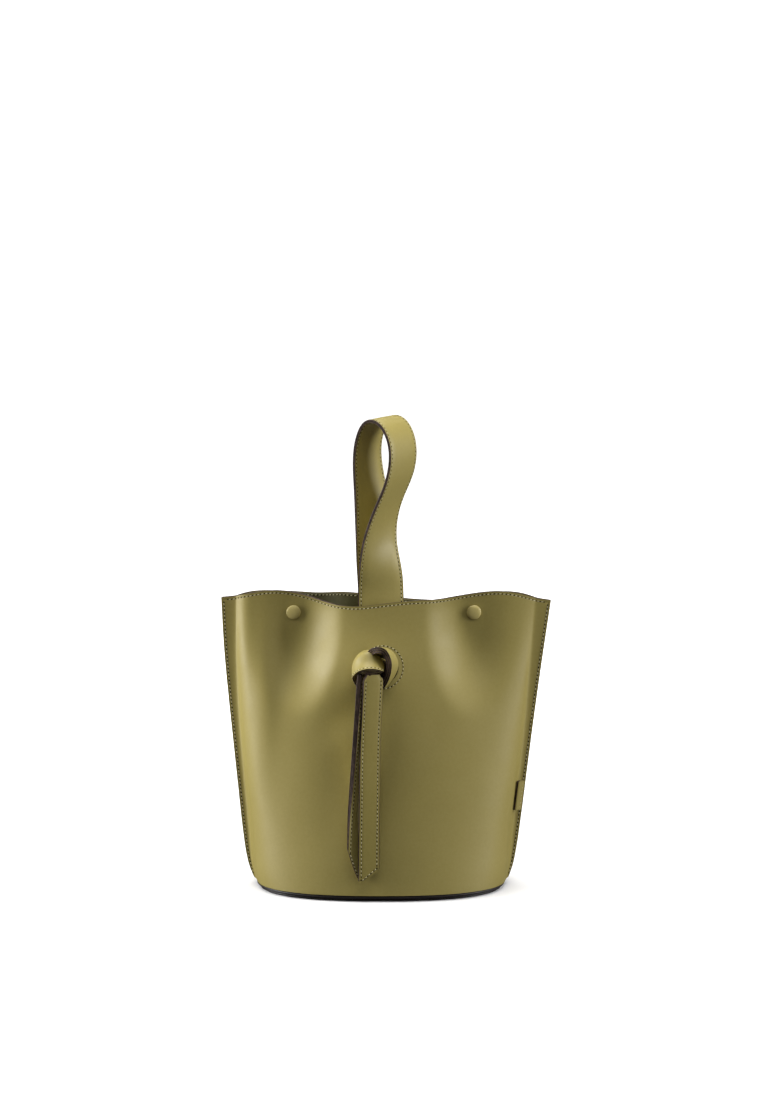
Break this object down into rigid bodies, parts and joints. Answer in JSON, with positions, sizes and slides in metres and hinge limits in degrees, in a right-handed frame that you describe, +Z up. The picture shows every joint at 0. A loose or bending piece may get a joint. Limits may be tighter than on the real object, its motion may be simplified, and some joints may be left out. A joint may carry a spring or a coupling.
{
  "type": "bucket bag",
  "caption": "Structured olive leather bucket bag on an oval base, waved rim closed by press studs, upright loop strap handle that knots through a stitched hole into hanging tails",
  "frame": {"origin": "middle of the base's flat underside", "axes": "+Z up through the handle, the front with the knotted tie faces -Y, +X to the right seen from the front"},
  "size_m": [0.2809, 0.1477, 0.4047],
  "materials": {
    "olive_leather": "satin smooth",
    "strap_leather": "satin smooth, dark painted edges",
    "dark_leather": "dark brown, matte",
    "lining_cloth": "plain weave",
    "stud_metal": "antique nickel",
    "stiffener_board": "pressed fibre board"
  },
  "bodies": {
    "root": {"front_panel": "olive_leather", "back_panel": "olive_leather", "front_facing": "olive_leather", "back_facing": "olive_leather", "hole_patch": "olive_leather", "strap_anchor_patch": "olive_leather", "tie_knot": "olive_leather", "side_tab": "olive_leather", "snap_cap_left": "olive_leather", "snap_cap_right": "olive_leather", "snap_rear_cap_left": "olive_leather", "snap_rear_cap_right": "olive_leather", "strap_front_run_outer": "strap_leather", "strap_front_run_inner": "strap_leather", "strap_rear_run_outer": "strap_leather", "strap_rear_run_inner": "strap_leather", "base_leather": "dark_leather", "base_welt": "dark_leather", "front_lining": "lining_cloth", "back_lining": "lining_cloth", "base_lining": "lining_cloth", "snap_socket_left": "stud_metal", "snap_socket_right": "stud_metal", "snap_stud_left": "stud_metal", "snap_stud_right": "stud_metal", "base_board": "stiffener_board"},
    "handle": {"handle_outer": "strap_leather", "handle_inner": "strap_leather"},
    "tail_front": {"tail_front_outer": "strap_leather", "tail_front_inner": "strap_leather"},
    "tail_rear": {"tail_rear_outer": "strap_leather", "tail_rear_inner": "strap_leather"}
  },
  "joints": [
    {"name": "handle_tilt", "type": "hinge", "parent": "root", "child": "handle", "pos_m": [0, -0.01, 0.262], "axis": [1, 0, 0], "range_deg": [-70, 50]},
    {"name": "tail_front_lift", "type": "hinge", "parent": "root", "child": "tail_front", "pos_m": [-0.007, -0.054, 0.184], "axis": [-1, 0, 0], "range_deg": [0, 90]},
    {"name": "tail_rear_swing", "type": "hinge", "parent": "root", "child": "tail_rear", "pos_m": [-0.02, -0.0495, 0.183], "axis": [0, 1, 0], "range_deg": [0, 30]}
  ]
}
